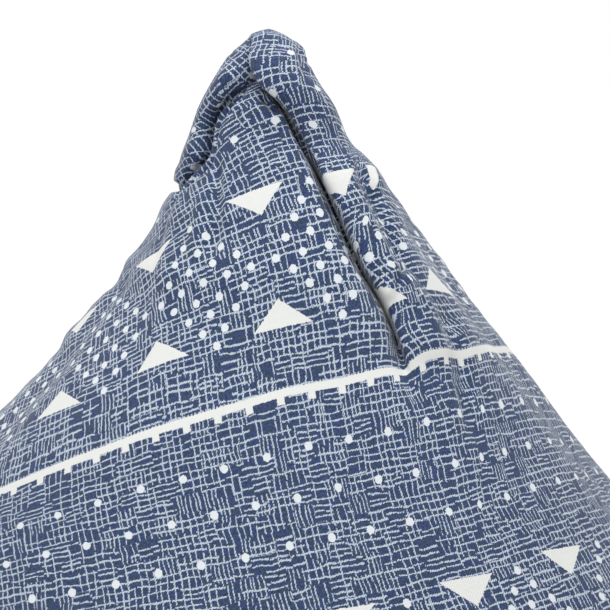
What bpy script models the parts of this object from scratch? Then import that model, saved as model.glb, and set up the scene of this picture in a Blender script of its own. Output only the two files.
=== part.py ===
"""Peaked bean bag in printed cloth: one filled solid, +Z up, metres, standing on its flat base.

The bag is lofted through level rings. Each ring starts as an oval, and folds of the cloth are raised on it:
a thick fold on the right that laps over the front tongue, a thinner one on the left behind the tongue,
and the deep crease at the inner edge of each.
"""

import math
from collections import namedtuple

import bmesh
import bpy

HEIGHT = 0.82  # peak to floor
BASE_RINGS = (0.66, 0.33)  # rings on the flat base, as shares of its radius
CLOTH_COLOUR = (0.085, 0.125, 0.235, 1.0)  # navy cotton with its pale print, seen from a distance
CLOTH_ROUGHNESS = 0.85

# Plain oval of the bag, by distance down from the peak: middle and half width in X, reach to front and back.
Oval = namedtuple("Oval", "down middle_x half_width front back")
BODY = (
    Oval(0.000, -0.001, 0.000, 0.000, 0.000),
    Oval(0.002, -0.002, 0.009, 0.010, 0.011),
    Oval(0.009, 0.000, 0.0175, 0.019, 0.021),
    Oval(0.016, 0.001, 0.024, 0.025, 0.028),
    Oval(0.037, -0.001, 0.032, 0.034, 0.038),
    Oval(0.066, -0.001, 0.042, 0.044, 0.051),
    Oval(0.080, 0.000, 0.047, 0.050, 0.058),
    Oval(0.090, 0.0045, 0.0555, 0.058, 0.065),
    Oval(0.103, 0.0110, 0.0695, 0.067, 0.073),
    Oval(0.125, 0.0105, 0.0875, 0.082, 0.090),
    Oval(0.150, 0.0125, 0.1018, 0.099, 0.106),
    Oval(0.168, 0.0108, 0.1170, 0.112, 0.119),
    Oval(0.191, 0.0130, 0.130, 0.126, 0.133),
    Oval(0.227, 0.0110, 0.160, 0.151, 0.157),
    Oval(0.257, 0.0085, 0.186, 0.174, 0.180),
    Oval(0.300, 0.0030, 0.2225, 0.207, 0.210),
    Oval(0.420, 0.000, 0.322, 0.302, 0.302),
    Oval(0.480, 0.000, 0.367, 0.345, 0.345),
    Oval(0.540, 0.000, 0.403, 0.380, 0.380),
    Oval(0.610, 0.000, 0.432, 0.4085, 0.4085),
    Oval(0.685, 0.000, 0.444, 0.420, 0.420),
    Oval(0.760, 0.000, 0.431, 0.408, 0.408),
    Oval(0.799, 0.000, 0.402, 0.380, 0.380),
    Oval(0.820, 0.000, 0.356, 0.337, 0.337),
)

# A fold of the cloth: where its inner edge shows from the front, how far round the bag it sweeps,
# how far it stands out, how deep the crease is at its inner edge and the valley at its outer edge.
Fold = namedtuple("Fold", "down edge_x sweep height crease valley")
RIGHT_FOLD = (
    Fold(0.000, -0.009, 120, 0.000, 0.000, 0.000),
    Fold(0.010, -0.0140, 120, 0.002, 0.002, 0.000),
    Fold(0.020, -0.0146, 118, 0.0105, 0.012, 0.000),
    Fold(0.0375, -0.0088, 112, 0.0165, 0.020, 0.001),
    Fold(0.0566, 0.0095, 96, 0.0180, 0.026, 0.003),
    Fold(0.0795, 0.0215, 80, 0.0175, 0.028, 0.006),
    Fold(0.1024, 0.0345, 60, 0.017, 0.028, 0.007),
    Fold(0.136, 0.0515, 45, 0.017, 0.028, 0.006),
    Fold(0.171, 0.0675, 40, 0.015, 0.026, 0.003),
    Fold(0.1934, 0.0820, 40, 0.013, 0.024, 0.000),
    Fold(0.2184, 0.0905, 40, 0.010, 0.020, 0.000),
    Fold(0.2420, 0.0970, 40, 0.000, 0.000, 0.000),
    Fold(0.300, 0.1150, 40, 0.000, 0.000, 0.000),
)
LEFT_FOLD = (
    Fold(0.000, -0.009, 95, 0.000, 0.000, 0.000),
    Fold(0.010, -0.0145, 95, 0.001, 0.001, 0.000),
    Fold(0.020, -0.0153, 92, 0.006, 0.012, 0.001),
    Fold(0.034, -0.0153, 90, 0.009, 0.016, 0.001),
    Fold(0.0428, -0.0219, 86, 0.010, 0.018, 0.002),
    Fold(0.0661, -0.0394, 80, 0.0115, 0.019, 0.003),
    Fold(0.0905, -0.0440, 78, 0.0125, 0.020, 0.004),
    Fold(0.1050, -0.0570, 64, 0.0120, 0.020, 0.003),
    Fold(0.1150, -0.0650, 52, 0.0000, 0.012, 0.000),
    Fold(0.1280, -0.0700, 50, 0.000, 0.000, 0.000),
    Fold(0.300, -0.1100, 50, 0.000, 0.000, 0.000),
)

# How far the front tongue stands out of the oval; below nothing, it is tucked in under the folds.
Tongue = namedtuple("Tongue", "down out")
TONGUE = (
    Tongue(0.000, 0.000),
    Tongue(0.010, -0.001),
    Tongue(0.020, -0.012),
    Tongue(0.034, -0.014),
    Tongue(0.045, -0.001),
    Tongue(0.060, 0.004),
    Tongue(0.120, 0.005),
    Tongue(0.240, 0.002),
    Tongue(0.320, 0.000),
)
FULL_LAP = 0.020  # crease depth at which a fold laps over the tongue as far as it can
NARROWEST_TONGUE = 6.0  # degrees between the two creases where they meet at the peak

# Mesh columns from each guide point of a ring to the next: back, left fold, tongue, right fold, back.
SPAN_STEPS = (4, 4, 4, 3, 3, 3, 2, 2, 2, 3, 5, 5, 3, 2, 3, 2, 4, 4, 3, 4, 4, 4)
# Spacing of the rings: from each depth on, this far apart.
RING_STEPS = (
    (0.000, 0.0026), (0.020, 0.0044), (0.060, 0.0060),
    (0.130, 0.0090), (0.240, 0.0160), (0.420, 0.0300),
)
BASE_EDGE_DOWN = (0.745, 0.770, 0.789, 0.803, 0.813, 0.820)  # closer rings where the side turns under
EVEN_FROM, EVEN_BY = 0.25, 0.45  # the ring's points spread evenly round the bag between these depths


def value_at(table, column, down):
    """Smooth value of a table's column at a depth, without overshoot between its rows."""
    depths = [row.down for row in table]
    values = [getattr(row, column) for row in table]
    if down <= depths[0]:
        return values[0]
    if down >= depths[-1]:
        return values[-1]
    slopes = [(values[i + 1] - values[i]) / (depths[i + 1] - depths[i]) for i in range(len(values) - 1)]
    tangents = [slopes[0]] + [
        0.0 if before * after <= 0 else 2 * before * after / (before + after)
        for before, after in zip(slopes, slopes[1:])
    ] + [slopes[-1]]
    row = max(i for i in range(len(depths) - 1) if depths[i] <= down)
    length = depths[row + 1] - depths[row]
    t = (down - depths[row]) / length
    return (
        (2 * t**3 - 3 * t**2 + 1) * values[row]
        + (t**3 - 2 * t**2 + t) * length * tangents[row]
        + (3 * t**2 - 2 * t**3) * values[row + 1]
        + (t**3 - t**2) * length * tangents[row + 1]
    )


def mix(a, b, share):
    return a + (b - a) * share


def smooth_share(start, end, value):
    t = min(max((value - start) / (end - start), 0.0), 1.0)
    return t * t * (3 - 2 * t)


def curve_at(before, start, end, after, t):
    """Smooth curve through start and end, one number at a time."""
    return 0.5 * (
        2 * start
        + (end - before) * t
        + (2 * before - 5 * start + 4 * end - after) * t**2
        + (3 * start - before - 3 * end + after) * t**3
    )


class Ring:
    """One level section of the bag, with its folds."""

    def __init__(self, down):
        self.down = down
        self.middle_x = value_at(BODY, "middle_x", down)
        self.half_width = value_at(BODY, "half_width", down)
        self.front = value_at(BODY, "front", down)
        self.back = value_at(BODY, "back", down)
        self.right = self.fold(RIGHT_FOLD)
        self.left = self.fold(LEFT_FOLD)
        self.tongue = value_at(TONGUE, "out", down)

    def fold(self, table):
        return Fold(self.down, *(value_at(table, column, self.down) for column in Fold._fields[1:]))

    def angle_of(self, x):
        """Angle from the front, in degrees, at which the oval passes this X."""
        share = (x - self.middle_x) / self.half_width
        return math.degrees(math.asin(min(max(share, -0.985), 0.985)))

    def point(self, angle, out):
        """A point of the oval moved straight out of its surface; the angle runs from the front to +X."""
        turn = math.radians(angle)
        depth = self.front if math.cos(turn) > 0 else self.back
        normal = (math.sin(turn) / self.half_width, -math.cos(turn) / depth)
        length = math.hypot(*normal)
        return (
            self.middle_x + self.half_width * math.sin(turn) + out * normal[0] / length,
            -depth * math.cos(turn) + out * normal[1] / length,
        )

    def guides(self):
        """(angle, height) of the ring's guide points, once round from the back over the left side."""
        right, left, tongue = self.right, self.left, self.tongue
        right_edge = self.angle_of(right.edge_x)
        left_edge = self.angle_of(left.edge_x)
        width = max(right_edge - left_edge, NARROWEST_TONGUE)
        left_back = left_edge - left.sweep
        right_back = right_edge + right.sweep
        lap = min(right.crease / FULL_LAP, 1.0)
        left_lap = min(left.crease / FULL_LAP, 1.0)
        return (
            (-180.0, 0.0),
            (mix(-180.0, left_back, 0.35), 0.0),
            (mix(-180.0, left_back, 0.70), 0.0),
            (left_back, -left.valley),
            (left_edge - 0.72 * left.sweep, 0.70 * left.height),
            (left_edge - 0.44 * left.sweep, left.height),
            (left_edge - 0.20 * left.sweep, 0.75 * left.height),
            (left_edge - mix(0.08, 0.05, left_lap) * left.sweep, 0.15 * left.height),
            (left_edge + mix(-0.02, 0.06, left_lap) * left.sweep, -left.crease),
            (left_edge + mix(0.07, 0.02, left_lap) * width, tongue - 0.25 * left.crease),
            (left_edge + 0.20 * width, tongue),
            (left_edge + 0.50 * width, tongue),
            (left_edge + 0.80 * width, tongue),
            (right_edge - mix(0.07, 0.03, lap) * width, tongue - 0.10 * right.crease),
            (right_edge + mix(-0.02, 0.13, lap) * right.sweep, -right.crease),
            (right_edge + mix(0.04, 0.00, lap) * right.sweep, 0.20 * right.height),
            (right_edge + mix(0.14, 0.08, lap) * right.sweep, 0.75 * right.height),
            (right_edge + 0.34 * right.sweep, right.height),
            (right_edge + 0.66 * right.sweep, 0.58 * right.height),
            (right_back, -right.valley),
            (mix(right_back, 180.0, 0.33), 0.0),
            (mix(right_back, 180.0, 0.66), 0.0),
        )

    def outline(self):
        """Closed smooth curve through the guide points."""
        guides = self.guides()
        count = len(guides)
        even = smooth_share(EVEN_FROM, EVEN_BY, self.down)
        even_turns = [-180.0 + 360.0 * sum(SPAN_STEPS[:i]) / sum(SPAN_STEPS) for i in range(count)]
        turns = [mix(guides[i][0], even_turns[i], even) for i in range(count)]
        heights = [height for _, height in guides]
        points = []
        for i, steps in enumerate(SPAN_STEPS):
            around = [i - 1, i, i + 1, i + 2]
            four_turns = [turns[k % count] + 360.0 * (k // count) for k in around]
            four_heights = [heights[k % count] for k in around]
            for step in range(steps):
                t = step / steps
                points.append(self.point(curve_at(*four_turns, t), curve_at(*four_heights, t)))
        return points


def ring_depths():
    """Depths of the rings, close together at the peak and at the base edge."""
    depths = []
    down = 0.0008
    while down < BASE_EDGE_DOWN[0] - RING_STEPS[-1][1] / 2:
        depths.append(down)
        down += [step for start, step in RING_STEPS if start <= down][-1]
    return depths + list(BASE_EDGE_DOWN)


def make_bag():
    """The filled bag: rings joined from the peak down, then the flat base."""
    mesh = bmesh.new()
    peak = mesh.verts.new((0.0, 0.0, HEIGHT))
    rings = [
        [mesh.verts.new((x, y, HEIGHT - down)) for x, y in Ring(down).outline()]
        for down in ring_depths()
    ]
    rim = rings[-1]
    for share in BASE_RINGS:
        rings.append([mesh.verts.new((share * v.co.x, share * v.co.y, 0.0)) for v in rim])
    centre = mesh.verts.new((0.0, 0.0, 0.0))
    count = len(rim)
    for i in range(count):
        mesh.faces.new((peak, rings[0][i], rings[0][(i + 1) % count]))
        mesh.faces.new((centre, rings[-1][(i + 1) % count], rings[-1][i]))
    for upper, lower in zip(rings, rings[1:]):
        for i in range(count):
            j = (i + 1) % count
            mesh.faces.new((upper[i], lower[i], lower[j], upper[j]))
    bmesh.ops.recalc_face_normals(mesh, faces=mesh.faces)
    data = bpy.data.meshes.new("bag")
    mesh.to_mesh(data)
    mesh.free()
    data.shade_smooth()
    bag = bpy.data.objects.new("bag", data)
    bpy.context.collection.objects.link(bag)
    return bag


def cloth_material():
    material = bpy.data.materials.new("printed_cloth")
    material.use_nodes = True
    shader = material.node_tree.nodes["Principled BSDF"]
    shader.inputs["Base Color"].default_value = CLOTH_COLOUR
    shader.inputs["Roughness"].default_value = CLOTH_ROUGHNESS
    shader.inputs["Metallic"].default_value = 0.0
    return material


for old in list(bpy.data.objects):
    bpy.data.objects.remove(old, do_unlink=True)
make_bag().data.materials.append(cloth_material())
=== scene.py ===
# Peaked bean bag in printed cotton: the filled bag dressed with its seams, puffed cloth, folds and print.
import math
import random
import time
from collections import namedtuple

import bpy
import numpy as np
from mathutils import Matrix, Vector
from mathutils.bvhtree import BVHTree
from mathutils.geometry import barycentric_transform


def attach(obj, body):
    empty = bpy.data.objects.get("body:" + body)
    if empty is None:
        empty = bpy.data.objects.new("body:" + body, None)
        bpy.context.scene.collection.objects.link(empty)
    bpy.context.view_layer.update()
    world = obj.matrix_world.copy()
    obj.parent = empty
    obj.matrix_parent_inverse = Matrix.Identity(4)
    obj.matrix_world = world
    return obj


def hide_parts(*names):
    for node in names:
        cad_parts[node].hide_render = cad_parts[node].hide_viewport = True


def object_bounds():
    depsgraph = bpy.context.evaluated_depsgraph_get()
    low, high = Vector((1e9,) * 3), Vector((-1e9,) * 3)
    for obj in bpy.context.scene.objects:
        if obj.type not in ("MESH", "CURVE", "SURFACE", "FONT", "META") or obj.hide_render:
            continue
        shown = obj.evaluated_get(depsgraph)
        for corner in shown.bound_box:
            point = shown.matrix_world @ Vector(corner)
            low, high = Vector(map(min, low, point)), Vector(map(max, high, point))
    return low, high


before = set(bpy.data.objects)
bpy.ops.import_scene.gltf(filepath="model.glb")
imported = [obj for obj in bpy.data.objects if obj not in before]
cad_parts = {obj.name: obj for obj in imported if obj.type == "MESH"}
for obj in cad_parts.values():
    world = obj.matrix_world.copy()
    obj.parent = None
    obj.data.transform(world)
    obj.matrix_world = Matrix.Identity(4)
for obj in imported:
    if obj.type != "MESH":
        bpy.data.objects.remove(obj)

startTime = time.time()
cadLow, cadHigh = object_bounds()
peakHeight = cadHigh.z


def stage(text):
    print("%5.1f s  %s" % (time.time() - startTime, text), flush=True)


def selectOnly(thing):
    bpy.ops.object.select_all(action="DESELECT")
    thing.select_set(True)
    bpy.context.view_layer.objects.active = thing


def applyModifier(thing, kind, **settings):
    modifier = thing.modifiers.new(kind.lower(), kind)
    for name, value in settings.items():
        setattr(modifier, name, value)
    bpy.ops.object.modifier_apply(modifier=modifier.name)


def places(mesh):
    found = np.empty(len(mesh.vertices) * 3)
    mesh.vertices.foreach_get("co", found)
    return found.reshape(-1, 3)


def setPlaces(mesh, spots):
    mesh.vertices.foreach_set("co", np.ascontiguousarray(spots, dtype=np.float64).ravel())
    mesh.update()


def normalsOf(mesh):
    found = np.empty(len(mesh.vertices) * 3)
    mesh.vertex_normals.foreach_get("vector", found)
    return found.reshape(-1, 3)


def smoothStep(start, end, value):
    share = np.clip((value - start) / (end - start), 0.0, 1.0)
    return share * share * (3 - 2 * share)


# The camera stands where the photographer stood: about level with the peak, looking a little down.
view = {
    "elevation": 5.0,  # degrees above the horizon
    "distance": 2.6,
    "frameWidth": 0.445,  # what the picture is wide at the bag
    "right": 0.0256,  # the picture's middle from the peak
    "below": 0.2015,
    "sensor": 36.0,  # millimetres
}
tilt = math.radians(view["elevation"])
lookAlong = Vector((0, math.cos(tilt), -math.sin(tilt)))
pictureUp = Vector((0, math.sin(tilt), math.cos(tilt)))
peak = Vector((0, 0, peakHeight))
aim = peak + Vector((view["right"], 0, 0)) - pictureUp * view["below"]
cameraPlace = aim - lookAlong * view["distance"]


def pictureSpot(spots):
    # where the camera sees each place: across from the peak and down from it, in the picture's plane
    away = spots - np.array(cameraPlace)
    share = view["distance"] / (away @ np.array(lookAlong))
    return view["right"] + away[:, 0] * share, view["below"] - (away @ np.array(pictureUp)) * share


# The filled bag
bagForm = {
    "seamStart": 0.004,  # the side seams run behind the outline: this far behind the peak at the top
    "seamLean": 0.12,  # and this much further back for each metre down
    "besideSeam": (-0.016, -0.006, 0.006, 0.016),  # mesh lines that let the seam draw in
    "onSeam": 2e-5,  # how near a mesh line lies to the seam that was cut there
    "onFloor": 1e-4,
    "rimShare": 0.99,  # the share of the base's reach from which an edge is the base's rim
    "pressure": 4.0,
    "stiffness": 40,
    "bending": 1.0,
    "heldBelow": 0.004,  # the cloth this near the floor keeps its place
    "heldBeside": 1e-3,  # and so does the cloth this near a seam
    "mostSwelling": 0.008,  # how far a point may move as the filling swells the cloth
    "swellFrom": 0.28,  # metres down from the peak: the stiff folds above keep their shape
    "swellFull": 0.46,
    "frames": 20,
}


def copyBag():
    bpy.ops.object.select_all(action="DESELECT")
    source = bpy.data.objects["bag"]
    copied = source.copy()
    copied.data = source.data.copy()
    copied.name = copied.data.name = "filledBag"
    bpy.context.collection.objects.link(copied)
    selectOnly(copied)
    bpy.ops.object.mode_set(mode="EDIT")
    bpy.ops.mesh.select_all(action="SELECT")
    bpy.ops.mesh.remove_doubles(threshold=1e-5)
    bpy.ops.mesh.tris_convert_to_quads(face_threshold=math.radians(100), shape_threshold=math.radians(120))
    bpy.ops.mesh.normals_make_consistent(inside=False)
    bpy.ops.object.mode_set(mode="OBJECT")
    return copied


def seamGap(spots):
    # how far behind the side seams a place lies
    down = peakHeight - spots[:, 2]
    return spots[:, 1] - (bagForm["seamStart"] + bagForm["seamLean"] * down)


def cutSeams(bag):
    bpy.ops.object.mode_set(mode="EDIT")
    for beside in (0.0, *bagForm["besideSeam"]):
        bpy.ops.mesh.select_all(action="SELECT")
        bpy.ops.mesh.bisect(
            plane_co=(0, bagForm["seamStart"] + beside, peakHeight),
            plane_no=(0, 1, bagForm["seamLean"]),
        )
    bpy.ops.mesh.select_all(action="DESELECT")
    bpy.ops.object.mode_set(mode="OBJECT")
    mesh = bag.data
    spots = places(mesh)
    onSeam = np.abs(seamGap(spots)) < bagForm["onSeam"]
    radius = np.hypot(spots[:, 0] / (cadHigh.x - cadLow.x), spots[:, 1] / (cadHigh.y - cadLow.y))
    ground = spots[:, 2] < bagForm["onFloor"]
    onRim = ground & (radius > radius[ground].max() * bagForm["rimShare"])
    corners = np.empty(len(mesh.edges) * 2, dtype=np.int64)
    mesh.edges.foreach_get("vertices", corners)
    ends = corners.reshape(-1, 2)
    sideSeam = onSeam[ends].all(axis=1) & ~ground[ends].all(axis=1)
    rimSeam = onRim[ends].all(axis=1)
    mesh.edges.foreach_set("use_seam", sideSeam | rimSeam)
    stage("seams: %d side edges, %d rim edges" % (sideSeam.sum(), rimSeam.sum()))


def vertexGroup(thing, name, weights):
    group = thing.vertex_groups.new(name=name)
    for index in np.nonzero(weights > 0.001)[0]:
        group.add([int(index)], float(weights[index]), "REPLACE")


def swell(bag):
    # the filling pushes the panels out between their seams; the base stays on the floor
    mesh = bag.data
    before = places(mesh)
    onSeam = np.abs(seamGap(before)) < bagForm["heldBeside"]
    vertexGroup(bag, "held", ((before[:, 2] < bagForm["heldBelow"]) | onSeam).astype(float))
    cloth = bag.modifiers.new("cloth", "CLOTH")
    settings = cloth.settings
    settings.vertex_group_mass = "held"
    settings.use_pressure = True
    settings.uniform_pressure_force = bagForm["pressure"]
    settings.effector_weights.gravity = 0
    settings.tension_stiffness = settings.compression_stiffness = bagForm["stiffness"]
    settings.bending_stiffness = bagForm["bending"]
    settings.quality = 5
    cloth.collision_settings.use_collision = False
    cloth.collision_settings.use_self_collision = False
    for number in range(1, bagForm["frames"] + 1):
        bpy.context.scene.frame_set(number)
    selectOnly(bag)
    bpy.ops.object.modifier_apply(modifier="cloth")
    moved = places(mesh) - before
    far = np.linalg.norm(moved, axis=1)
    stage("swelling: mean %.1f mm, most %.1f mm before the cap" % (far.mean() * 1000, far.max() * 1000))
    share = bagForm["mostSwelling"] / np.maximum(far, bagForm["mostSwelling"])
    share *= smoothStep(bagForm["swellFrom"], bagForm["swellFull"], peakHeight - before[:, 2])
    setPlaces(mesh, before + moved * share[:, None])
    bpy.context.scene.frame_set(1)


bag = copyBag()
cutSeams(bag)
applyModifier(bag, "SUBSURF", levels=1, render_levels=1)
stage("filled bag: %d faces" % len(bag.data.polygons))
swell(bag)


# How the print lies on the cloth
printLay = {
    # the toothed line as it crosses the front: across from the peak and down from it in the picture, metres
    "line": (
        (-0.197, 0.338), (-0.142, 0.315), (-0.088, 0.295), (-0.015, 0.273), (0.007, 0.266),
        (0.052, 0.258), (0.096, 0.250), (0.115, 0.238), (0.128, 0.236), (0.142, 0.237), (0.175, 0.234),
    ),
    "bend": 2,  # the line's degree as a smooth curve over the whole panel
    "jogReach": 0.045,  # what the curve misses fades out this far above and below the line
    # the cloth clear of the folds, to size the print by: how far down from the peak and how far right
    "plainCloth": (0.15, 0.45),
    "plainUpTo": 0.05,
    "leftDrop": 0.0058,  # how much lower the upper rows lie to the left
    "leftDropFull": (-0.085, 0.04),  # full from this far left and this far above the line
    "lowDraw": 0.077,  # the share by which the rows below the line draw together
    "lowDrawFull": -0.11,  # full from this far below the line
    "lowDrawMiddle": 0.020,  # towards this place along the line
    "lowTilt": 0.045,  # and drop to the right by this share
    "lowTiltFull": -0.08,
    "lowTiltReach": 0.25,
    "peakFrom": 0.137,  # above this the print is drawn smaller towards the peak
    "peakSpread": 0.13,
    # where the cloth is drawn aside right of the crease: across from the peak, down from it, and metres of
    # print drawn in there (to the right where below nothing)
    "drawnRoll": (
        (0.044, 0.088, -0.008), (0.055, 0.107, -0.0065), (0.055, 0.126, -0.0195), (0.077, 0.150, -0.007),
        (0.087, 0.194, -0.015), (0.096, 0.231, -0.005), (0.113, 0.231, -0.010), (0.129, 0.231, -0.012),
        (0.115, 0.287, -0.005), (0.140, 0.280, -0.010), (0.137, 0.315, -0.006), (0.109, 0.323, -0.001),
        (0.131, 0.353, -0.002),
    ),
    "drawnFlank": (
        (0.068, 0.098, 0.040), (0.077, 0.112, 0.078), (0.086, 0.127, 0.048), (0.097, 0.141, 0.028),
        (0.109, 0.165, 0.027), (0.119, 0.188, 0.026), (0.128, 0.209, 0.010), (0.144, 0.231, -0.009),
        (0.156, 0.231, -0.002), (0.171, 0.231, 0.003), (0.169, 0.274, 0.007), (0.140, 0.280, -0.010),
        (0.156, 0.312, -0.001), (0.171, 0.308, 0.006), (0.173, 0.343, 0.004), (0.137, 0.315, -0.006),
    ),
    # at the flank's shoulder the cloth is gathered closely to each side of a short line
    "shoulder": {
        "place": (0.0704, 0.1008),  # across and down from the peak
        "lean": 0.5,  # how far the line runs right for each metre down
        "gather": 7.0,  # metres of print drawn in for each metre away from the line
        "left": 0.0018,  # how far left of the line the gathers reach
        "reach": 0.013,
    },
    "drawnReach": 0.016,
    "drawnFade": 0.15,  # how soon the drawing fades away from the places
    "creaseEdge": (-0.003, 0.009),  # where the cloth past the crease starts to be drawn, and is fully so
    "valleyEdge": 0.0025,
    # the three panels' prints lie apart, metres along
    "frontEnd": 1.5,
    "backStart": 3.0,
    "baseStart": 6.0,
    "backLine": 0.30,  # how far down from the peak the toothed line crosses the back
    # the crease that parts the tongue from the roll, and the valley that parts the roll from the flank
    "crease": (
        (0.012, 0.061), (0.021, 0.079), (0.031, 0.097), (0.044, 0.132), (0.057, 0.161),
        (0.084, 0.207), (0.093, 0.231),
    ),
    "valley": (
        (0.060, 0.096), (0.073, 0.119), (0.082, 0.138), (0.095, 0.164), (0.104, 0.180), (0.117, 0.198),
        (0.131, 0.220), (0.137, 0.231), (0.143, 0.264), (0.152, 0.307),
    ),
}


def panelOf(mesh):
    # 0 for the front panel, 1 for the back and 2 for the base, face by face
    centres = np.empty(len(mesh.polygons) * 3)
    mesh.polygons.foreach_get("center", centres)
    centres = centres.reshape(-1, 3)
    normals = np.empty(len(mesh.polygons) * 3)
    mesh.polygons.foreach_get("normal", normals)
    normals = normals.reshape(-1, 3)
    panel = np.where(seamGap(centres) > 0, 1, 0)
    panel[(centres[:, 2] < 0.001) & (normals[:, 2] < -0.9)] = 2
    return panel


def unwrap(bag):
    selectOnly(bag)
    bpy.ops.object.mode_set(mode="EDIT")
    bpy.ops.mesh.select_all(action="SELECT")
    bpy.ops.uv.unwrap(method="MINIMUM_STRETCH", iterations=12, margin=0.001)
    bpy.ops.object.mode_set(mode="OBJECT")


def drawnAside(spots):
    # how far the print is drawn along the line at each place, on the roll and on the flank beyond it
    across, below = pictureSpot(spots)
    drawn = []
    for name in ("drawnRoll", "drawnFlank"):
        where = np.array(printLay[name])
        away = np.hypot(across[:, None] - where[:, 0], below[:, None] - where[:, 1]) / printLay["drawnReach"]
        weight = np.exp(-(away**2))
        drawn.append(weight @ where[:, 2] / (weight.sum(axis=1) + printLay["drawnFade"]))
    shoulder = printLay["shoulder"]
    fromTop = below - shoulder["place"][1]
    aside = np.maximum(across - shoulder["place"][0] - fromTop * shoulder["lean"], -shoulder["left"])
    drawn[1] = drawn[1] + aside * shoulder["gather"] * np.exp(-((fromTop / shoulder["reach"]) ** 2))
    crease, valley = np.array(printLay["crease"]), np.array(printLay["valley"])
    beyondCrease = across - np.interp(below, crease[:, 1], crease[:, 0])
    beyondValley = across - np.interp(below, valley[:, 1], valley[:, 0])
    share = smoothStep(-printLay["valleyEdge"], printLay["valleyEdge"], beyondValley)
    return smoothStep(*printLay["creaseEdge"], beyondCrease) * (drawn[0] * (1 - share) + drawn[1] * share)


def layPrint(bag):
    mesh = bag.data
    spots = places(mesh)
    layer = mesh.uv_layers.active
    layer.name = "clothWay"
    uv = np.empty(len(mesh.loops) * 2)
    layer.data.foreach_get("uv", uv)
    uv = uv.reshape(-1, 2)
    corner = np.empty(len(mesh.loops), dtype=np.int64)
    mesh.loops.foreach_get("vertex_index", corner)
    panel = panelOf(mesh)
    sizes = np.empty(len(mesh.polygons), dtype=np.int64)
    mesh.polygons.foreach_get("loop_total", sizes)
    cornerPanel = np.repeat(panel, sizes)
    # the base is laid flat
    base = cornerPanel == 2
    uv[base] = spots[corner[base]][:, :2] * (1, -1) + (printLay["baseStart"], 0.0)
    # true size, from the edges of each panel's faces
    following = np.arange(len(uv)) + 1
    lastOfFace = np.cumsum(sizes) - 1
    following[lastOfFace] = lastOfFace - sizes + 1
    length = np.linalg.norm(spots[corner] - spots[corner[following]], axis=1)
    down = peakHeight - spots[corner][:, 2]
    highest, lowest = printLay["plainCloth"]
    plain = (down > highest) & (down < lowest) & (spots[corner][:, 0] < printLay["plainUpTo"])
    for side in (0, 1):
        mine = cornerPanel == side
        flat = np.linalg.norm(uv - uv[following], axis=1)
        used = mine & plain
        uv[mine] *= length[used].sum() / flat[used].sum()
    # the front panel is turned until the toothed line lies level
    mesh.calc_loop_triangles()
    triangles = [tuple(t.loops) for t in mesh.loop_triangles if panel[t.polygon_index] == 0]
    vertexPlaces = [Vector(p) for p in spots[corner]]
    tree = BVHTree.FromPolygons(vertexPlaces, triangles)

    def uvAt(across, below):
        through = peak + Vector((across, 0, 0)) - pictureUp * below
        place, _, index, _ = tree.ray_cast(cameraPlace, (through - cameraPlace).normalized())
        a, b, c = triangles[index]
        flatPlaces = [Vector((uv[k][0], uv[k][1], 0)) for k in (a, b, c)]
        found = barycentric_transform(place, vertexPlaces[a], vertexPlaces[b], vertexPlaces[c], *flatPlaces)
        return found.x, found.y

    def turned(values, angle, centre):
        turn = np.array(((math.cos(angle), -math.sin(angle)), (math.sin(angle), math.cos(angle))))
        return (values - centre) @ turn.T

    line = np.array([uvAt(*spot) for spot in printLay["line"]])
    front = cornerPanel == 0
    run = line[-1] - line[0]
    angle = -math.atan2(run[1], run[0])
    centre = line[4]
    uv[front] = turned(uv[front], angle, centre)
    line = turned(line, angle, centre)
    bend = np.polyfit(line[:, 0], line[:, 1], printLay["bend"])
    missed = line[:, 1] - np.polyval(bend, line[:, 0])
    stage("toothed line: bend %s, missed up to %.1f mm" % (np.round(bend, 3), np.abs(missed).max() * 1000))
    left, right = line[0, 0], line[-1, 0]
    held = np.clip(uv[front, 0], left - 0.05, right + 0.05)  # straight on beyond the seen stretch
    slopeThere = np.polyval(np.polyder(bend), held)
    uv[front, 1] -= np.polyval(bend, held) + slopeThere * (uv[front, 0] - held)
    jog = np.interp(uv[front, 0], line[:, 0], missed)
    uv[front, 1] -= jog * np.exp(-(uv[front, 1] / printLay["jogReach"]) ** 2)
    # the rows above the line drop to the left and spread towards the peak; the rows below draw together
    u, v = uv[front].T
    fullLeft, fullAbove = printLay["leftDropFull"]
    v = v - printLay["leftDrop"] * smoothStep(0.0, fullLeft, u) * smoothStep(0.0, fullAbove, v)
    v = v + np.maximum(v - printLay["peakFrom"], 0) * printLay["peakSpread"]
    fromMiddle = u - printLay["lowDrawMiddle"]
    u = u + fromMiddle * printLay["lowDraw"] * smoothStep(-0.01, printLay["lowDrawFull"], v)
    tilted = np.clip(fromMiddle, -printLay["lowTiltReach"], printLay["lowTiltReach"]) * printLay["lowTilt"]
    v = v + tilted * smoothStep(0.0, printLay["lowTiltFull"], v)
    uv[front] = np.stack((u, v), axis=1)
    # the back panel stands upright, its line as high as the front's
    back = cornerPanel == 1
    high = spots[corner[back]][:, 2]
    rise = np.array([np.polyfit(uv[back, k][high > 0.3], high[high > 0.3], 1)[0] for k in (0, 1)])
    uv[back] = turned(uv[back], math.pi / 2 - math.atan2(rise[1], rise[0]), (0, 0))
    level = np.abs(high - (peakHeight - printLay["backLine"])) < 0.01
    uv[back] -= (uv[back, 0].mean() - printLay["backStart"], uv[back, 1][level].mean())
    layer.data.foreach_set("uv", uv.ravel())
    mesh.update()


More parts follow.
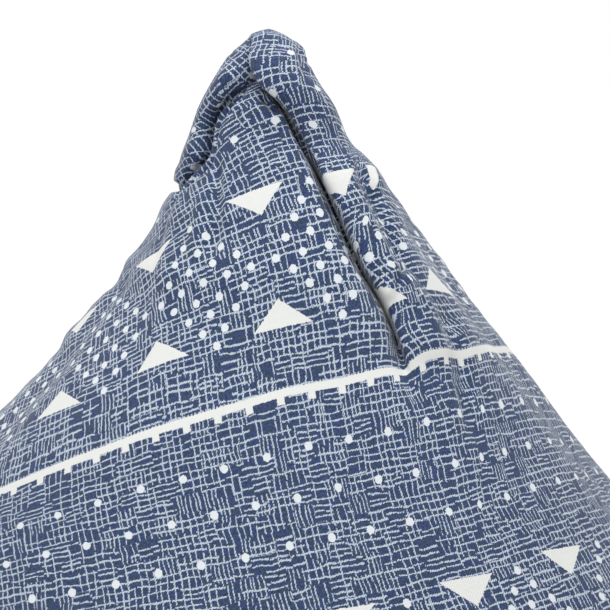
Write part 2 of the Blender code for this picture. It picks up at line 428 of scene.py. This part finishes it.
def drawPrint(bag):
    # the print right of the crease, drawn aside point by point once the mesh is fine enough
    mesh = bag.data
    layer = mesh.uv_layers["clothWay"]
    uv = np.empty(len(mesh.loops) * 2)
    layer.data.foreach_get("uv", uv)
    uv = uv.reshape(-1, 2)
    corner = np.empty(len(mesh.loops), dtype=np.int64)
    mesh.loops.foreach_get("vertex_index", corner)
    front = uv[:, 0] < printLay["frontEnd"]
    uv[front, 0] += drawnAside(places(mesh)[corner[front]])
    layer.data.foreach_set("uv", uv.ravel())
    mesh.update()


unwrap(bag)
stage("unwrapped")
layPrint(bag)
stage("print laid")
applyModifier(bag, "SUBSURF", levels=1, render_levels=1)
drawPrint(bag)


# Troughs and ridges in the cloth
# a ridge has a depth below nothing; one with a rim bends the bag's outline too
Trough = namedtuple("Trough", "path halfWidth depth rim", defaults=(False,))
seenFolds = (
    # places across and down from the peak, as the camera sees them, then the half width and depth, metres
    # the left roll's groove against the tongue, tight at its lower end
    Trough(
        (
            (-0.012, 0.040), (-0.028, 0.051), (-0.039, 0.065), (-0.042, 0.078), (-0.043, 0.088),
            (-0.047, 0.098), (-0.054, 0.105), (-0.061, 0.111), (-0.068, 0.115), (-0.095, 0.117),
        ),
        0.0045, 0.007, True,
    ),
    # the left roll's rounded length
    Trough(
        (
            (-0.022, 0.021), (-0.035, 0.041), (-0.047, 0.061), (-0.053, 0.080), (-0.058, 0.094),
            (-0.064, 0.113),
        ),
        0.010, -0.004,
    ),
    # the shoulder where the flank comes out from behind the thick roll
    Trough(((0.056, 0.090), (0.064, 0.097), (0.073, 0.106), (0.082, 0.121)), 0.009, -0.0042, True),
    # the crease between the tongue and the thick roll
    Trough(
        ((0.012, 0.061), (0.021, 0.079), (0.031, 0.097), (0.044, 0.132), (0.057, 0.161), (0.078, 0.196)),
        0.0035, 0.003,
    ),
    # the valley between the thick roll and the flank
    Trough(
        ((0.060, 0.090), (0.073, 0.119), (0.082, 0.138), (0.095, 0.164), (0.106, 0.184)),
        0.007, 0.0065,
    ),
    # the pucker where the crease runs out over the toothed line
    Trough(
        ((0.088, 0.220), (0.096, 0.246), (0.102, 0.253), (0.104, 0.265), (0.106, 0.280)),
        0.009, 0.0012,
    ),
    # a drawn fold at the foot of the roll
    Trough(((0.102, 0.170), (0.096, 0.179), (0.091, 0.188)), 0.005, 0.004),
    Trough(((0.089, 0.183), (0.088, 0.190), (0.087, 0.198)), 0.005, -0.003),
    # a soft swelling of the left flank
    Trough(((-0.112, 0.186), (-0.134, 0.212), (-0.158, 0.236)), 0.020, -0.0045, True),
    # down the right flank
    Trough(
        ((0.122, 0.192), (0.131, 0.216), (0.137, 0.231), (0.140, 0.250), (0.145, 0.278), (0.153, 0.310)),
        0.010, 0.004,
    ),
    # where the tongue turns to its left side
    Trough(((-0.039, 0.088), (-0.039, 0.118), (-0.039, 0.143), (-0.044, 0.172)), 0.007, 0.004),
    Trough(((-0.049, 0.119), (-0.051, 0.143), (-0.057, 0.170)), 0.009, -0.0025),
    # the step on the top of the thick roll
    Trough(((0.020, 0.010), (0.024, 0.021), (0.028, 0.031), (0.034, 0.037)), 0.004, 0.0035),
    Trough(((0.018, 0.005), (0.026, 0.014), (0.029, 0.018)), 0.005, -0.0022, True),
    Trough(((0.042, 0.021), (0.030, 0.024), (0.018, 0.030)), 0.004, 0.0012, True),
    # the pocket between the tongue's tip and the roll
    Trough(((-0.007, 0.047), (0.000, 0.055), (0.008, 0.061)), 0.005, 0.005),
)
hiddenFolds = {
    # soft flutes that fall from the peak and sagging folds above the floor, on the sides and back
    "seed": 5,
    "girth": 0.42,  # metres round for each radian, near the widest
    "flutes": 9,
    "fluteSpan": 2.2,  # radians to each side of the middle of the back
    "fluteDepth": 0.004,
    "behindGain": 0.9,  # the share by which flutes deepen on the back
    "behind": (1.5, 1.1),  # radians from the middle of the back where they start to, and are fully so
    "fluteTop": (0.10, 0.16),  # least and most, down from the peak
    "fluteLength": (0.20, 0.34),
    "fluteLean": (-0.03, 0.03),
    "fluteWidth": (0.05, 0.09),
    "sags": 16,
    "sagDepth": 0.009,
    "sagLow": (0.60, 0.755),
    "sagHalf": (0.05, 0.13),
    "sagRise": (0.005, 0.03),
    "sagWidth": (0.014, 0.03),
    "seamDraw": 0.0045,  # how deep the side seams draw in
    "seamReach": 0.011,
    "pucker": 0.0009,  # the little gathers beside the seams
    "puckerEvery": 0.019,
    "puckerReach": 0.022,
    # where the seams start to draw in: down from the peak, and up from the floor
    "drawnFrom": (0.10, 0.16),
    "drawnAbove": (0.0, 0.02),
}
# how squarely cloth faces the camera where a fold starts to show and where it is whole, plain or with a rim
facingShown = {False: (0.0, 0.25), True: (-0.35, 0.0)}


def pressed(spots, trough):
    # how far each flat place is pushed in by one trough: full along its path, nothing at its edges and ends
    path = np.array(trough.path)
    steps = np.linalg.norm(np.diff(path, axis=0), axis=1)
    before = np.concatenate(((0.0,), np.cumsum(steps)))
    nearest = np.full(len(spots), np.inf)
    along = np.zeros(len(spots))
    for start, end, length, run in zip(path, path[1:], steps, before):
        share = np.clip(((spots - start) @ (end - start)) / length**2, 0, 1)
        distance = np.linalg.norm(spots - start - share[:, None] * (end - start), axis=1)
        closer = distance < nearest
        nearest = np.where(closer, distance, nearest)
        along = np.where(closer, (run + share * length) / before[-1], along)
    ends = smoothStep(0.0, 0.2, along) * smoothStep(1.0, 0.75, along)
    return trough.depth * (1 - smoothStep(0.0, trough.halfWidth, nearest)) * ends


def foldCloth(bag):
    mesh = bag.data
    spots = places(mesh)
    normals = normalsOf(mesh)
    toCamera = -(normals @ np.array(lookAlong))
    facing = {rim: smoothStep(*shown, toCamera) for rim, shown in facingShown.items()}
    seen = np.stack(pictureSpot(spots), axis=1)
    depth = sum(pressed(seen, trough) * facing[trough.rim] for trough in seenFolds)
    # behind: the same, on the cloth unrolled round the bag
    form = hiddenFolds
    draw = random.Random(form["seed"])
    down = peakHeight - spots[:, 2]
    turn = np.arctan2(spots[:, 0], spots[:, 1])  # 0 at the back, towards +X
    girth = form["girth"]
    unrolled = np.stack((turn * girth, down), axis=1)
    fluteGain = form["fluteDepth"] * (1 + form["behindGain"] * smoothStep(*form["behind"], np.abs(turn)))
    for number in range(form["flutes"]):
        step = 2 * (number + draw.uniform(0.2, 0.8)) / form["flutes"] - 1
        where = girth * form["fluteSpan"] * step
        top = draw.uniform(*form["fluteTop"])
        length = draw.uniform(*form["fluteLength"])
        lean = draw.uniform(*form["fluteLean"])
        path = ((where, top), (where + lean * 0.3, top + length / 2), (where + lean, top + length))
        width = draw.uniform(*form["fluteWidth"])
        depth += pressed(unrolled, Trough(path, width, draw.uniform(0.5, 1.0))) * fluteGain
    for number in range(form["sags"]):
        where = girth * math.pi * (2 * (number + draw.random()) / form["sags"] - 1)
        low = draw.uniform(*form["sagLow"])
        half = draw.uniform(*form["sagHalf"])
        high = low - draw.uniform(*form["sagRise"])
        path = ((where - half, high), (where - half / 3, low), (where + half / 3, low), (where + half, high))
        width = draw.uniform(*form["sagWidth"])
        depth += pressed(unrolled, Trough(path, width, form["sagDepth"] * draw.uniform(0.5, 1.0)))
    # the side seams draw in, with little gathers beside them
    gap = np.abs(seamGap(spots))
    below = smoothStep(*form["drawnFrom"], down) * smoothStep(*form["drawnAbove"], spots[:, 2])
    depth += form["seamDraw"] * np.exp(-((gap / form["seamReach"]) ** 2)) * below
    uneven = 1.7 * np.sin(down * 31.0) + 2.1 * np.sin(down * 12.0 + 1.0)  # no two gathers alike
    wave = down / form["puckerEvery"] * 2 * math.pi + uneven
    depth += form["pucker"] * np.sin(wave) * np.exp(-((gap / form["puckerReach"]) ** 2)) * below
    setPlaces(mesh, spots - normals * depth[:, None])
    stage("folds: up to %.1f mm in, %.1f mm out" % (depth.max() * 1000, -depth.min() * 1000))


foldCloth(bag)
bag.data.shade_smooth()
stage("bag: %d faces" % len(bag.data.polygons))


# Looks
class Wire:
    # a node's output; sums on wires add their Math nodes
    def __init__(self, finish, socket):
        self.finish = finish
        self.socket = socket

    def sum(self, operation, *others):
        return self.finish.sum(operation, self, *others)

    def __add__(self, other):
        return self.sum("ADD", other)

    def __radd__(self, other):
        return self.sum("ADD", other)

    def __sub__(self, other):
        return self.sum("SUBTRACT", other)

    def __rsub__(self, other):
        return self.finish.sum("SUBTRACT", other, self)

    def __mul__(self, other):
        return self.sum("MULTIPLY", other)

    def __rmul__(self, other):
        return self.sum("MULTIPLY", other)

    def __truediv__(self, other):
        return self.sum("DIVIDE", other)

    def __lt__(self, other):
        return self.sum("LESS_THAN", other)

    def __gt__(self, other):
        return self.sum("GREATER_THAN", other)

    def floor(self):
        return self.sum("FLOOR")

    def part(self):
        return self.sum("FRACT")

    def size(self):
        return self.sum("ABSOLUTE")

    def most(self, other):
        return self.sum("MAXIMUM", other)

    def least(self, other):
        return self.sum("MINIMUM", other)


class Finish:
    # a material and the nodes that make it
    def __init__(self, name, **fixed):
        self.material = bpy.data.materials.new(name)
        self.material.use_nodes = True
        self.nodes = self.material.node_tree.nodes
        self.links = self.material.node_tree.links
        self.shader = self.nodes["Principled BSDF"]
        for socket, value in fixed.items():
            self.shader.inputs[socket.replace("_", " ")].default_value = value

    def put(self, socket, value):
        if isinstance(value, Wire):
            self.links.new(value.socket, socket)
        else:
            socket.default_value = value

    def node(self, kind, settings=None, sockets=None, out=0):
        made = self.nodes.new(kind)
        for name, value in (settings or {}).items():
            setattr(made, name, value)
        for name, value in (sockets or {}).items():
            self.put(made.inputs[name], value)
        return Wire(self, made.outputs[out])

    def sum(self, operation, *values):
        return self.node("ShaderNodeMath", {"operation": operation}, dict(enumerate(values)))

    def mixed(self, share, first, second):
        made = self.nodes.new("ShaderNodeMix")
        made.data_type = "RGBA"
        for index, value in ((0, share), (6, first), (7, second)):
            self.put(made.inputs[index], value)
        return Wire(self, made.outputs[2])

    def vector(self, x, y, z=0.0):
        return self.node("ShaderNodeCombineXYZ", sockets={0: x, 1: y, 2: z})

    def partsOf(self, wire):
        made = self.nodes.new("ShaderNodeSeparateXYZ")
        self.links.new(wire.socket, made.inputs[0])
        return [Wire(self, out) for out in made.outputs]

    def noise(self, place, scale, detail=2.0, rough=0.5):
        sockets = {"Vector": place, "Scale": scale, "Detail": detail, "Roughness": rough}
        return self.node("ShaderNodeTexNoise", {"noise_dimensions": "3D"}, sockets, out="Color")

    def chance(self, x, y, z=0.0):
        # three even random numbers for each whole place
        where = self.vector(x, y, z)
        settings = {"noise_dimensions": "3D"}
        return self.partsOf(self.node("ShaderNodeTexWhiteNoise", settings, {"Vector": where}, out="Color"))


def colour(red, green, blue):
    # screen values from 0 to 255, as light
    light = [((v / 255 + 0.055) / 1.055) ** 2.4 if v > 10 else v / 255 / 12.92 for v in (red, green, blue)]
    return (*light, 1.0)


printedCotton = {
    # millimetres on the cloth
    "ground": colour(37, 53, 92),
    "groundDim": colour(40, 56, 79),
    "hatchInk": colour(167, 177, 188),
    "motifInk": colour(195, 196, 193),
    "dotInk": colour(190, 195, 198),
    "repeat": 293.0,
    "repeatStart": -145.0,
    "triangle": {
        "pitch": 98.8,
        "base": 46.0,
        "height": 20.0,
        "tilt": -0.07,
        "upright": 44.5,  # the base of the upright row above the toothed line
        "inverted": 144.5,
        "uprightMiddle": 10.5,  # one triangle's place along the row
        "invertedMiddle": 14.0,
        "stepAside": 3.2,  # how far each repeat stands to the side of the one below
    },
    "dense": {"start": 45.0, "rowPitch": 11.7, "rows": 9, "pitch": 19.76, "middle": 56.0},
    "sparse": {"start": -102.3, "rowPitch": 31.15, "rows": 3, "pitch": 32.93, "middle": 15.6},
    "dotRadius": 3.05,
    "dotStray": (2.2, 1.8),  # how far a dot strays from its place, along the row and across it
    "line": {"half": 2.9, "toothPitch": 24.7, "toothWidth": 5.8, "toothLength": 5.0},
    "fringe": {"pitch": 2.9, "share": 0.45, "length": 1.2},  # the short threads on the line's upper edge
    "stray": {"slow": 3.6, "quick": 2.0},  # how far the ink's edges stray
    "hatch": {
        "uprightWidth": 0.9,
        "levelWidth": 1.12,
        "across": 4.9,  # between upright strokes
        "acrossFine": 3.3,
        "up": 5.6,  # between level strokes
        "upFine": 3.9,
        "gridLength": (21.0, 24.0),  # of upright and level strokes, breaks included
        "patchLength": (13.0, 15.0),
        "block": (15.0, 13.0),  # a patch's width and height
        "uprightPatches": 0.24,  # the share of patches with upright strokes alone
        "levelPatches": 0.22,
        "heavierPrintAndPaintedLight": 0.12,  # the share by which the strokes above the toothed line are wider than those below: partly the print, partly painted light that makes the upper cloth paler and the lower cloth darker
    },
    "twillPitch": 1.6,
}


def hatchLines(finish, across, along, pitch, length, width, density, seed):
    # broken strokes along one way of the cloth, one to a column, their places and breaks by chance
    column = (across / pitch).floor()
    shift = finish.chance(column, seed)[0]
    run = along / length + shift
    stretch = run.floor()
    there, aside, heavy = finish.chance(column, stretch, seed)
    gap = ((across / pitch).part() - 0.5 - (aside - 0.5) * 0.34).size() * pitch
    line = gap < (0.4 + 0.2 * heavy) * width
    return line * (there < density) * (run.part() < 0.95)


def triangleRow(finish, u, row, number, upward, middle, seed):
    tri = printedCotton["triangle"]
    step = (u - middle - number * tri["stepAside"]) / tri["pitch"] + 0.5
    turn, lean, _ = finish.chance(step.floor(), number, seed)
    aside = (step.part() - 0.5) * tri["pitch"]
    level = row - aside * (tri["tilt"] + 0.08 * (turn - 0.5))
    rise = (level - tri["upright"]) if upward else (tri["inverted"] - level)
    middleThere = (0.15 - lean * 0.3 - (0.0 if upward else 0.1)) * rise
    half = (1.0 - rise / tri["height"]) * (tri["base"] / 2)
    return ((aside - middleThere).size() < half) * (rise > 0.0)


def dotRows(finish, u, row, rows, seed):
    # dots on a staggered lattice; also gives each dot's rank and its own place along the row
    rank = ((row - rows["start"]) / rows["rowPitch"] + 0.5).floor()
    aside = (rank / 2).part()
    step = (u - rows["middle"]) / rows["pitch"] + 0.5 + aside
    shiftU, shiftV, _ = finish.chance(step.floor(), rank, seed)
    along, across = printedCotton["dotStray"]
    awayU = (step.part() - 0.5) * rows["pitch"] + (shiftU - 0.5) * along
    awayV = row - rows["start"] - rank * rows["rowPitch"] + (shiftV - 0.5) * across
    near = (awayU * awayU + awayV * awayV) < printedCotton["dotRadius"] ** 2
    inRows = (rank > -0.5) * (rank < rows["rows"] - 0.5)
    return near * inRows, rank, (step.floor() - aside) * rows["pitch"]


def printedCloth():
    cloth = printedCotton
    finish = Finish("printedCotton", Roughness=0.86, Sheen_Weight=0.17, Sheen_Roughness=0.45)
    finish.shader.inputs["Specular IOR Level"].default_value = 0.25
    way = finish.node("ShaderNodeUVMap", {"uv_map": "clothWay"})
    x, y, _ = finish.partsOf(way)
    u, v = x * 1000.0, y * 1000.0
    flat = finish.vector(u, v)
    # twill: slanting ribs that take the ink unevenly
    twill = ((u - v) / (1.4142 * cloth["twillPitch"])).part()
    rib = (twill - 0.5).size() * 2.0
    grain, worn, _ = finish.partsOf(finish.noise(flat, 0.6, 2.0))
    dimness = finish.partsOf(finish.noise(flat, 0.19, 1.0))[0]  # where the dye leans from blue to grey
    cloud, _, _ = finish.partsOf(finish.noise(flat, 0.012, 3.0))
    # the ink's edges stray: slowly as in a hand-drawn line, quickly as ink sits on twill
    slowU, slowV, _ = finish.partsOf(finish.noise(flat, 0.08, 1.0))
    quickU, quickV, _ = finish.partsOf(finish.noise(flat, 1.05, 1.0))
    stray = cloth["stray"]
    strayU, strayV = (quickU - 0.5) * stray["quick"], (quickV - 0.5) * stray["quick"]
    uInk = u + (slowU - 0.5) * stray["slow"] + strayU
    vInk = v + (slowV - 0.5) * stray["slow"] + strayV
    # one repeat's rows; hatch and motifs both read where they are in it
    du, dv = u + strayU, v + strayV
    start, repeat = cloth["repeatStart"], cloth["repeat"]
    turns = (dv - start) / repeat
    row = turns.part() * repeat + start
    number = turns.floor()

    # hatch: patches of grid, upright strokes and level strokes
    hatch = cloth["hatch"]
    blockRow = (vInk / hatch["block"][1]).floor()
    rowShift = finish.chance(blockRow, 7.0)[0]
    kind = finish.chance((uInk / hatch["block"][0] + rowShift * 3.0).floor(), blockRow, 3.0)[0]
    isUpright = kind < hatch["uprightPatches"]
    isLevel = kind > 1.0 - hatch["levelPatches"]
    isGrid = 1.0 - isUpright - isLevel
    thick = 0.62 + 0.76 * rib  # the strokes swell and thin as they cross the twill
    # partly print, partly painted light: the strokes above the toothed line are widened and those below
    # thinned, so the upper cloth reads paler and the lower cloth darker
    weight = (row > 0.0) * hatch["heavierPrintAndPaintedLight"] + (1.0 - hatch["heavierPrintAndPaintedLight"] / 2)
    upright = hatch["uprightWidth"] * thick * weight
    level = hatch["levelWidth"] * (0.8 + 0.4 * rib) * weight
    uprightGrid, levelGrid = isGrid * 0.86 + isLevel * 0.35, isGrid * 0.91 + isUpright * 0.45
    (longUp, longLevel), (shortUp, shortLevel) = hatch["gridLength"], hatch["patchLength"]
    strokes = [
        hatchLines(finish, uInk, vInk, hatch["across"], longUp, upright, uprightGrid, 11.0),
        hatchLines(finish, uInk, vInk, hatch["acrossFine"], shortUp, upright, isUpright * 0.90, 12.0),
        hatchLines(finish, vInk, uInk, hatch["up"], longLevel, level, levelGrid, 13.0),
        hatchLines(finish, vInk, uInk, hatch["upFine"], shortLevel, level, isLevel * 0.90, 14.0),
    ]
    inked = strokes[0].most(strokes[1]).most(strokes[2].most(strokes[3]))

    # motifs, row by row in one repeat
    line = cloth["line"]
    onLine = row.size() < line["half"]
    tooth = (du / line["toothPitch"] + 0.5).part() - 0.5
    onTeeth = (tooth.size() < line["toothWidth"] / line["toothPitch"] / 2) * (row < 0.0)
    onTeeth = onTeeth * (row > -line["half"] - line["toothLength"])
    threads = cloth["fringe"]
    fringe = (row > 0.0) * (row < line["half"] + threads["length"])
    fringe = fringe * ((du / threads["pitch"]).part() < threads["share"])
    triangle = cloth["triangle"]
    whites = triangleRow(finish, du, row, number, True, triangle["uprightMiddle"], 21.0)
    whites = whites.most(triangleRow(finish, du, row, number, False, triangle["invertedMiddle"], 22.0))
    whites = whites.most(onLine.most(onTeeth))
    spotted, _, _ = dotRows(finish, du, row, cloth["sparse"], 32.0)
    dense = cloth["dense"]
    nest, rank, place = dotRows(finish, du, row, dense, 31.0)
    # the dense dots nest between the triangles: few in the outer rows, whole rows in the middle
    fromGap = ((place / triangle["pitch"] + 0.5).part() - 0.5).size() * triangle["pitch"]
    nest = nest * (fromGap < rank.least(dense["rows"] - 1.0 - rank) * (dense["pitch"] / 2) + 5.0)
    spotted = spotted.most(nest)

    shade = 0.70 + 0.46 * rib + 2.5 * (grain - 0.5) + 0.25 * (cloud - 0.5)
    dim = ((dimness - 0.5) * 3.0 + 0.5).most(0.0).least(1.0)
    dyed = finish.mixed(dim, cloth["ground"], cloth["groundDim"])
    ground = finish.node("ShaderNodeVectorMath", {"operation": "SCALE"}, {0: dyed, "Scale": shade})
    inkHold = 0.68 + 0.36 * rib + 0.35 * (worn - 0.5)
    withHatch = finish.mixed(inked.most(fringe) * inkHold, ground, cloth["hatchInk"])
    withDots = finish.mixed(spotted * 0.97, withHatch, cloth["dotInk"])
    looks = finish.mixed(whites * (0.93 + 0.07 * rib), withDots, cloth["motifInk"])
    finish.put(finish.shader.inputs["Base Color"], looks)
    relief = {"Strength": 0.35, "Distance": 0.0004, "Height": rib * 0.6 + grain * 0.5}
    bump = finish.node("ShaderNodeBump", sockets=relief, out="Normal")
    finish.put(finish.shader.inputs["Normal"], bump)
    return finish.material


bag.data.materials.clear()
bag.data.materials.append(printedCloth())
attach(bag, "root")
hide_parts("bag")
stage("print: %d nodes" % len(bag.data.materials[0].node_tree.nodes))


# Floor, light and camera
setting = {
    "floorSize": 3000.0,
    "floorColour": (0.93, 0.93, 0.93, 1.0),
    "skyLight": 0.66,
    "keyLight": 1.4,
    "keyHeight": 6,  # degrees from straight above
    "keySide": -70,  # degrees round from the front to the right
    "keySoftness": 40,  # degrees that the light is wide
    "softBox": {"place": (0.0, -0.50, 1.50), "size": 1.6, "power": 13.5},
}
bpy.ops.mesh.primitive_plane_add(size=setting["floorSize"], location=(0, 0, 0))
floor = bpy.context.active_object
floor.name = "floor"
floorFinish = Finish("paleFloor", Base_Color=setting["floorColour"], Roughness=0.9)
floor.data.materials.append(floorFinish.material)

world = bpy.data.worlds.new("softStudio")
bpy.context.scene.world = world
world.use_nodes = True
world.node_tree.nodes["Background"].inputs["Color"].default_value = (1.0, 1.0, 1.0, 1.0)
world.node_tree.nodes["Background"].inputs["Strength"].default_value = setting["skyLight"]

keyTurn = (math.radians(setting["keyHeight"]), 0, math.radians(setting["keySide"]))
bpy.ops.object.light_add(type="SUN", rotation=keyTurn)
key = bpy.context.active_object
key.data.energy = setting["keyLight"]
key.data.angle = math.radians(setting["keySoftness"])
softBox = setting["softBox"]
bpy.ops.object.light_add(type="AREA", location=softBox["place"])
above = bpy.context.active_object
above.data.size = softBox["size"]
above.data.energy = softBox["power"]

bpy.ops.object.camera_add(location=cameraPlace)
camera = bpy.context.active_object
camera.rotation_euler = lookAlong.to_track_quat("-Z", "Y").to_euler()
camera.data.sensor_width = view["sensor"]
camera.data.lens = view["sensor"] * view["distance"] / view["frameWidth"]
camera.data.clip_end = setting["floorSize"]
bpy.context.scene.camera = camera
bpy.context.scene.view_settings.view_transform = "Standard"

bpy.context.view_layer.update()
stage("done")
